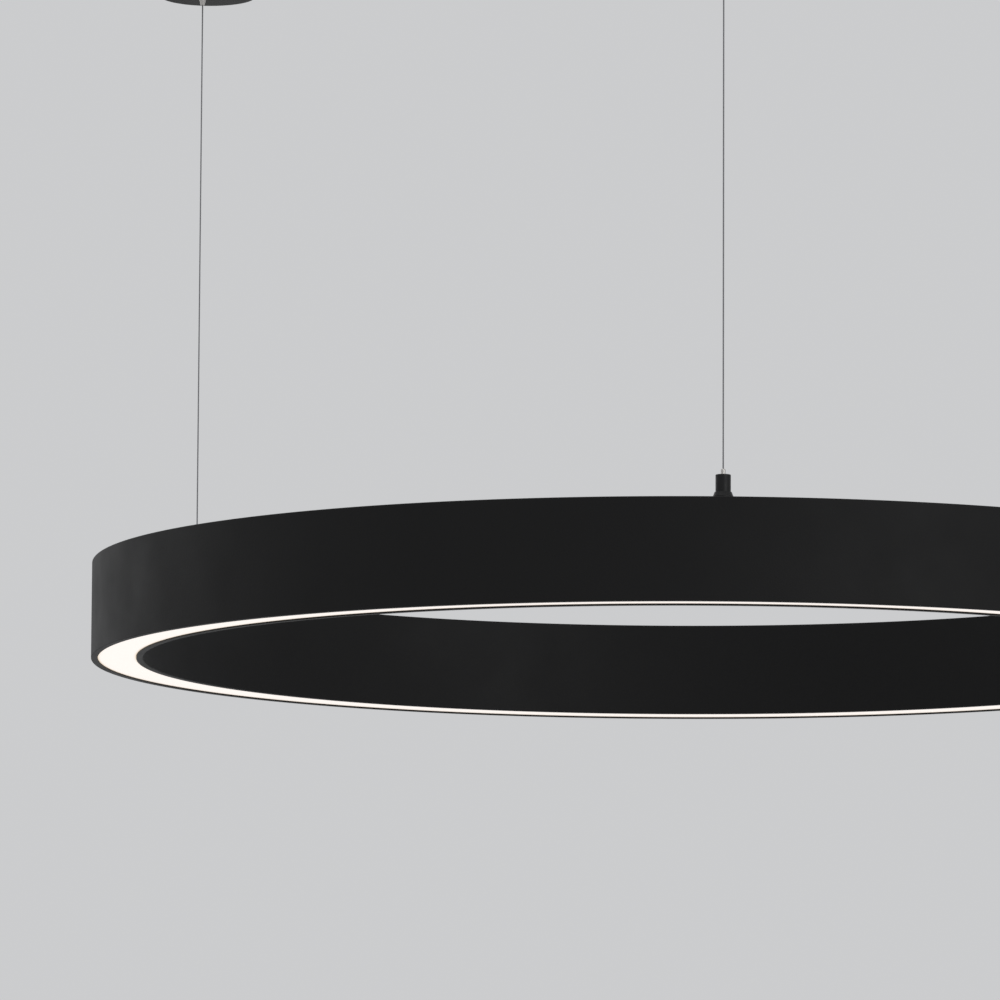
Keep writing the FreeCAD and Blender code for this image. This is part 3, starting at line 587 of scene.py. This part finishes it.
def black_steel_finish():
    """Steel, blackened and oiled."""
    material, tree, shader, place = new_finish(
        "black_steel", BLACK_STEEL_COLOUR, roughness=0.36, metallic=0.4
    )
    oiled = vary(tree, place, grain=0.0012, low=0.28, high=0.46)
    tree.links.new(oiled, shader.inputs["Roughness"])
    return material


def countersunk_outline(length):
    """A screw's outline below its head's top face, which lies at height 0."""
    socket = SOCKET_WIDTH / 2
    return [
        (0.0, -SOCKET_DEPTH),
        (socket, -SOCKET_DEPTH, HEXAGON),
        (socket, 0.0, HEXAGON),
        (SCREW_HEAD / 2, 0.0),
        (SCREW_DIAMETER / 2, -SCREW_HEAD_HEIGHT),
        (SCREW_DIAMETER / 2, -length),
        (0.0, -length),
    ]


black_steel = black_steel_finish()
set_round = scatter_tree()
wire_angles = [FIRST_WIRE_ANGLE + i * 2 * math.pi / len(WIRES) for i in range(len(WIRES))]
screw_spread = math.pi / len(WIRES) - COVER_SCREW_INSET / RING_MIDDLE
screw_circles = [
    RING_INNER + RING_WALL + LEDGE_WIDTH / 2,
    RING_OUTER - RING_WALL - LEDGE_WIDTH / 2,
]
screw_sites = [
    polar(radius, angle + side * screw_spread, RING_TOP)
    for angle in wire_angles
    for side in (-1, 1)
    for radius in screw_circles
]
screw_length = COVER_THICKNESS + LEDGE_THICKNESS + SCREW_END
screw_mesh = turned("cover_screw", [countersunk_outline(screw_length)])
screws = scatter("socket_screws", screw_sites, screw_mesh, black_steel)
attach(screws, "ring")
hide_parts("cover_screws")


def dress(finish, *names):
    """Gives CAD nodes their finish."""
    for name in names:
        for material_slot in nodes[name].material_slots:
            material_slot.material = finish


def each(*names):
    """The names of pieces that every wire has."""
    return [f"{name}_{number}" for name in names for number in WIRES]


dress(black_coat, *each("top_cover"))

# ---------------------------------------------------------------- wire grippers
# A barrel and a flared foot, turned in brass and plated black, stand over each wire's way into
# the ring. A bright nipple on a ball cage stands out of the barrel, pushed up by a coil spring.
SPRING_WIRE = 0.0004
SPRING_DIAMETER = 0.0046
SPRING_TURNS = 3
SPRING_STEPS = 16
SPRING_SIDES = 10
PLATING_COLOUR = (0.007, 0.007, 0.0073)
PLATING_GLOSS = 0.3
NICKEL_COLOUR = (0.50, 0.485, 0.465)
TURNING_MARKS = 1500.0
TURNING_WANDER = 0.4
ZINC_COLOUR = (0.48, 0.50, 0.52)


def black_plating():
    """A thin black plating over turned brass."""
    material, tree, shader, place = new_finish(
        "black_plating", PLATING_COLOUR, roughness=0.44, metallic=0.2
    )
    shader.inputs["Specular IOR Level"].default_value = PLATING_GLOSS
    clouds = vary(tree, place, grain=0.004, low=0.38, high=0.50)
    tree.links.new(clouds, shader.inputs["Roughness"])
    return material


def bright_nickel():
    """Turned and plated: very fine rings round the axis."""
    material, tree, shader, place = new_finish(
        "bright_nickel", NICKEL_COLOUR, roughness=0.30, metallic=1.0
    )
    clouds = vary(tree, place, grain=0.003, low=0.25, high=0.38)
    tree.links.new(clouds, shader.inputs["Roughness"])
    rings = put(
        tree,
        "ShaderNodeTexWave",
        {"wave_type": "BANDS", "bands_direction": "Z"},
        Vector=place,
        Scale=TURNING_MARKS,
        Distortion=TURNING_WANDER,
    )
    roughen(tree, shader, rings.outputs["Fac"], depth=0.000003)
    return material


def zinc_plating():
    """Steel with a pale blue zinc coat, in small clouds."""
    material, tree, shader, place = new_finish(
        "zinc_plating", ZINC_COLOUR, roughness=0.58, metallic=1.0
    )
    clouds = vary(tree, place, grain=0.006, low=0.50, high=0.66)
    tree.links.new(clouds, shader.inputs["Roughness"])
    roughen(tree, shader, vary(tree, place, grain=0.0009, low=0.0, high=1.0), depth=0.000005)
    return material


def coil_tree():
    """A round wire wound upwards from the tree's starting point."""
    sizes = {
        "Turns": "Float",
        "Coil Radius": "Float",
        "Rise": "Float",
        "Wire Radius": "Float",
        "Steps": "Int",
        "Sides": "Int",
    }
    tree, given = new_tree("coil", sizes)
    coil = put(
        tree,
        "GeometryNodeCurveSpiral",
        Resolution=given["Steps"],
        Rotations=given["Turns"],
        Start_Radius=given["Coil Radius"],
        End_Radius=given["Coil Radius"],
        Height=given["Rise"],
    )
    section = put(
        tree,
        "GeometryNodeCurvePrimitiveCircle",
        Resolution=given["Sides"],
        Radius=given["Wire Radius"],
    )
    tube = put(
        tree,
        "GeometryNodeCurveToMesh",
        Curve=coil.outputs["Curve"],
        Profile_Curve=section.outputs["Curve"],
        Fill_Caps=True,
    )
    placed = put(
        tree, "GeometryNodeInstanceOnPoints", Points=given["Start"], Instance=tube.outputs["Mesh"]
    )
    return close_tree(tree, placed.outputs["Instances"], given)


plating = black_plating()
nickel = bright_nickel()
zinc = zinc_plating()
dress(plating, *each("gripper_base", "gripper_sleeve"))
dress(nickel, *each("gripper_plunger"))
dress(zinc, *each("gripper_balls", "bridge"), "bridge_screws")
coil = coil_tree()
for number in WIRES:
    low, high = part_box(f"gripper_spring_{number}")
    foot = Vector(((low.x + high.x) / 2, (low.y + high.y) / 2, low.z))
    site = bpy.data.meshes.new(f"spring_site_{number}")
    site.from_pydata([foot + Vector((0.0, 0.0, SPRING_WIRE / 2))], [], [])
    spring = grow(
        f"coil_spring_{number}",
        site,
        coil,
        Finish=zinc,
        Turns=float(SPRING_TURNS),
        Coil_Radius=(SPRING_DIAMETER - SPRING_WIRE) / 2,
        Rise=high.z - low.z - SPRING_WIRE,
        Wire_Radius=SPRING_WIRE / 2,
        Steps=SPRING_STEPS,
        Sides=SPRING_SIDES,
    )
    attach(spring, "ring")
    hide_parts(f"gripper_spring_{number}")
    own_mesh(spring)

# ---------------------------------------------------------------- light engine and supplies
# All of this is closed in by the covers and the strip: white boards with their row of lamps, the
# drivers on the web between the wires, their cables, and the terminal block for the lead.
BOARD_COUNT = 6
BOARD_COLOUR = (0.80, 0.80, 0.78)
PHOSPHOR_COLOUR = (0.86, 0.62, 0.13)
LAMP_LEVEL = 0.0018
CASE_COLOUR = (0.72, 0.72, 0.70)
SHEATH_COLOUR = (0.70, 0.70, 0.68)
TERMINAL_COLOUR = (0.78, 0.77, 0.72)
CLOUD_PER_GRAIN = 12


def plastic(name, colour, low, high, grain, depth):
    """Moulded plastic with a fine spark-eroded grain. Its roughness varies from low to high."""
    material, tree, shader, place = new_finish(name, colour, roughness=(low + high) / 2)
    clouds = vary(tree, place, grain * CLOUD_PER_GRAIN, low, high)
    tree.links.new(clouds, shader.inputs["Roughness"])
    roughen(tree, shader, vary(tree, place, grain, low=0.0, high=1.0), depth)
    return material


def board_finish():
    """White lacquer on the board. What stands below its face is the lamps' yellow phosphor."""
    material, tree, shader, place = new_finish("board_lacquer", BOARD_COLOUR, roughness=0.45)
    part = put(tree, "ShaderNodeSeparateXYZ", Vector=place)
    below = calc(tree, "LESS_THAN", part.outputs["Z"], RING_BOTTOM + CHAMBER_DEPTH - LAMP_LEVEL)
    paint = tree.nodes.new("ShaderNodeValToRGB")
    paint.color_ramp.elements[0].color = (*BOARD_COLOUR, 1.0)
    paint.color_ramp.elements[1].color = (*PHOSPHOR_COLOUR, 1.0)
    tree.links.new(below, paint.inputs["Fac"])
    tree.links.new(paint.outputs["Color"], shader.inputs["Base Color"])
    clouds = vary(tree, place, grain=0.004, low=0.38, high=0.52)
    tree.links.new(clouds, shader.inputs["Roughness"])
    return material


board_white = board_finish()
case_white = plastic(
    "driver_case_plastic", CASE_COLOUR, low=0.52, high=0.66, grain=0.0009, depth=0.000012
)
cable_white = plastic(
    "cable_sheath", SHEATH_COLOUR, low=0.46, high=0.60, grain=0.0012, depth=0.000008
)
terminal_white = plastic(
    "terminal_plastic", TERMINAL_COLOUR, low=0.30, high=0.42, grain=0.0010, depth=0.000006
)
dress(board_white, *[f"led_board_{i + 1}" for i in range(BOARD_COUNT)])
dress(case_white, *each("driver"))
dress(cable_white, "driver_cables")
dress(terminal_white, "ring_terminal_block", "ceiling_terminal_block")
dress(zinc, "driver_screws")

# ---------------------------------------------------------------- glands
# Black nylon cable glands for the lead, one on the ring and one below the feed canopy. A hexagon
# body is screwed through the sheet to a nut, and its domed cap squeezes a rubber seal on the lead.
GLAND_FLATS = 0.014
GLAND_THREAD = 0.010
GLAND_THREAD_LENGTH = 0.008
GLAND_BODY_HEIGHT = 0.004
GLAND_NUT_HEIGHT = 0.003
GLAND_CAP_FLATS = 0.0124
GLAND_CAP_FLATS_HEIGHT = 0.0085
GLAND_CAP_TIP = 0.009
GLAND_SHOULDER = 0.001
GLAND_DOME_LEVEL = 0.0098
GLAND_HEIGHT = 0.011
GLAND_EDGE = 0.0004
GLAND_ROUNDING = 0.00012
LEAD_BORE = 0.0054
CANOPY_SHEET = 0.0015
GLAND_STEPS = 60
NYLON_COLOUR = (0.018, 0.018, 0.019)


def gland_mesh(name, sheet):
    """A gland that stands on a sheet's upper face, at height 0, with its nut under the sheet."""
    bore = LEAD_BORE / 2
    thread = GLAND_THREAD / 2
    body = GLAND_FLATS / 2
    cap = GLAND_CAP_FLATS / 2
    tip = GLAND_CAP_TIP / 2
    nut_top = -sheet
    nut_low = -sheet - GLAND_NUT_HEIGHT
    edge = GLAND_EDGE
    whole = [
        (bore, -GLAND_THREAD_LENGTH),
        (thread - edge, -GLAND_THREAD_LENGTH),
        (thread, -GLAND_THREAD_LENGTH + edge),
        (thread, 0.0),
        (body, 0.0, HEXAGON),
        (body, GLAND_BODY_HEIGHT - edge, HEXAGON),
        (body, GLAND_BODY_HEIGHT),
        (cap - edge, GLAND_BODY_HEIGHT),
        (cap - edge, GLAND_BODY_HEIGHT + edge),
        (cap, GLAND_BODY_HEIGHT + edge, HEXAGON),
        (cap, GLAND_CAP_FLATS_HEIGHT, HEXAGON),
        (cap - edge, GLAND_CAP_FLATS_HEIGHT + edge),
        (cap - GLAND_SHOULDER, GLAND_DOME_LEVEL),
        (tip, GLAND_HEIGHT - edge),
        (tip - edge, GLAND_HEIGHT),
        (tip - 2 * edge, GLAND_HEIGHT),
        (tip - GLAND_SHOULDER, GLAND_HEIGHT - edge),
        (bore, GLAND_DOME_LEVEL),
    ]
    nut = [
        (thread, nut_low),
        (body - edge, nut_low),
        (body, nut_low + edge, HEXAGON),
        (body, nut_top - edge, HEXAGON),
        (body - edge, nut_top),
        (thread, nut_top),
    ]
    return turned(name, [whole, nut], GLAND_STEPS)


def set_down(name, mesh, place, finish):
    """A finished piece: the mesh moved to its place, with its material."""
    mesh.transform(place)
    mesh.materials.append(finish)
    piece = bpy.data.objects.new(name, mesh)
    bpy.context.scene.collection.objects.link(piece)
    return piece


def upright_at(node, height, turn=0.0):
    """A place on a CAD node's axis, square to the ring, tilted by a turn about the radius."""
    low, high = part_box(node)
    axis = (low + high) / 2
    angle = math.atan2(axis.y, axis.x)
    place = Matrix.Translation((axis.x, axis.y, height)) @ Matrix.Rotation(angle, 4, "Z")
    return place @ Matrix.Rotation(turn, 4, "X")


black_nylon = plastic(
    "black_nylon", NYLON_COLOUR, low=0.46, high=0.60, grain=0.0010, depth=0.000010
)
canopy_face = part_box("canopy_cover_2")[0].z
ring_place = upright_at("ring_gland", RING_TOP)
canopy_place = upright_at("canopy_gland", canopy_face, math.pi)
for name, sheet, place, body, node in (
    ("nylon_gland_ring", COVER_THICKNESS, ring_place, "ring", "ring_gland"),
    ("nylon_gland_canopy", CANOPY_SHEET, canopy_place, "canopy_2", "canopy_gland"),
):
    gland = set_down(name, gland_mesh(name, sheet), place, black_nylon)
    soften(gland, GLAND_ROUNDING)
    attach(gland, body)
    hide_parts(node)

# ---------------------------------------------------------------- ceiling fittings
# Each wire hangs from a turned nickel anchor in a zinc-plated plate. A spun steel canopy, coated
# black like the ring, covers the plate, and two socket grub screws in its wall clamp it there.
GRUB_LEVEL = -0.007
GRUB_RECESS = 0.0002
GRUB_LENGTH = 0.0015
GRUB_CHAMFER = 0.0002
GRUB_SOCKET = 0.0015
GRUB_SOCKET_DEPTH = 0.0011


def grub_pair(node):
    """Two grub screws in a canopy's wall, one on each side of the wire's radius."""
    outline = [
        (0.0, -GRUB_SOCKET_DEPTH),
        (GRUB_SOCKET / 2, -GRUB_SOCKET_DEPTH, HEXAGON),
        (GRUB_SOCKET / 2, 0.0, HEXAGON),
        (SCREW_DIAMETER / 2 - GRUB_CHAMFER, 0.0),
        (SCREW_DIAMETER / 2, -GRUB_CHAMFER),
        (SCREW_DIAMETER / 2, -GRUB_LENGTH),
        (0.0, -GRUB_LENGTH),
    ]
    low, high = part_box(node)
    reach = (high.x - low.x) / 2 - GRUB_RECESS
    pair = bmesh.new()
    for side in (-1, 1):
        screw = turned("grub_screw", [outline])
        outward = Matrix.Rotation(-side * math.pi / 2, 4, "X")
        screw.transform(Matrix.Translation((0.0, side * reach, 0.0)) @ outward)
        pair.from_mesh(screw)
        bpy.data.meshes.remove(screw)
    mesh = bpy.data.meshes.new("grub_pair")
    pair.to_mesh(mesh)
    pair.free()
    return mesh


dress(zinc, *each("ceiling_plate", "wire_stop"))
dress(nickel, *each("wire_anchor"))
dress(black_coat, *each("canopy_cover"))
for number in WIRES:
    cover = f"canopy_cover_{number}"
    place = upright_at(cover, GRUB_LEVEL)
    grubs = set_down(f"grub_screws_{number}", grub_pair(cover), place, black_steel)
    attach(grubs, f"canopy_{number}")
    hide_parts(f"canopy_screws_{number}")

# ---------------------------------------------------------------- studio
# A pale floor well below the ring, large soft lamps far off on its right, its left and above it,
# and a pale, even surrounding.
FLOOR_LEVEL = -2.4
FLOOR_HALF = 40.0
SURROUND_COLOUR = (0.60, 0.605, 0.615)
FILL_LIGHT = 0.72


def pale_floor():
    """Matt, and as pale as the surround. Seen from underneath it lets the view through."""
    material, tree, shader, _ = new_finish("pale_floor", SURROUND_COLOUR, roughness=0.85)
    clear = tree.nodes.new("ShaderNodeBsdfTransparent")
    under = tree.nodes.new("ShaderNodeNewGeometry").outputs["Backfacing"]
    mix = tree.nodes.new("ShaderNodeMixShader")
    tree.links.new(under, mix.inputs[0])
    tree.links.new(shader.outputs[0], mix.inputs[1])
    tree.links.new(clear.outputs[0], mix.inputs[2])
    tree.links.new(mix.outputs[0], tree.nodes["Material Output"].inputs["Surface"])
    return material


def surround():
    """An even pale surrounding for the camera, gloss and glass, and a softer fill for the rest."""
    world = bpy.data.worlds.new("studio")
    world.use_nodes = True
    tree = world.node_tree
    fill = tree.nodes["Background"]
    fill.inputs["Color"].default_value = (1.0, 1.0, 1.0, 1.0)
    fill.inputs["Strength"].default_value = FILL_LIGHT
    seen = tree.nodes.new("ShaderNodeBackground")
    seen.inputs["Color"].default_value = (*SURROUND_COLOUR, 1.0)
    rays = tree.nodes.new("ShaderNodeLightPath").outputs
    direct = calc(tree, "MAXIMUM", rays["Is Camera Ray"], rays["Is Transmission Ray"])
    share = calc(tree, "MAXIMUM", direct, rays["Is Glossy Ray"])
    mix = tree.nodes.new("ShaderNodeMixShader")
    tree.links.new(share, mix.inputs[0])
    tree.links.new(fill.outputs[0], mix.inputs[1])
    tree.links.new(seen.outputs[0], mix.inputs[2])
    tree.links.new(mix.outputs[0], tree.nodes["World Output"].inputs["Surface"])
    return world


def soft_lamp(name, place, width, strength):
    """A far lamp in that direction from the ring. Its width is the angle that it fills."""
    lamp = bpy.data.lights.new(name, "SUN")
    lamp.angle = math.radians(width)
    lamp.energy = strength
    holder = bpy.data.objects.new(name, lamp)
    bpy.context.scene.collection.objects.link(holder)
    holder.location = place
    holder.rotation_euler = (-Vector(place)).to_track_quat("-Z", "Y").to_euler()


half = FLOOR_HALF
corners = [(-half, -half), (half, -half), (half, half), (-half, half)]
floor_mesh = bpy.data.meshes.new("floor")
floor_mesh.from_pydata([(x, y, FLOOR_LEVEL) for x, y in corners], [], [(0, 1, 2, 3)])
floor_mesh.materials.append(pale_floor())
floor = bpy.data.objects.new("floor", floor_mesh)
bpy.context.scene.collection.objects.link(floor)
bpy.context.scene.world = surround()
soft_lamp("lamp_right", place=(3.2, -4.1, 1.2), width=36.0, strength=0.6)
soft_lamp("lamp_left", place=(-3.8, 3.6, 1.0), width=36.0, strength=0.12)
soft_lamp("lamp_above", place=(-0.8, -0.6, 4.2), width=40.0, strength=0.75)
bpy.context.scene.view_settings.view_transform = "Standard"
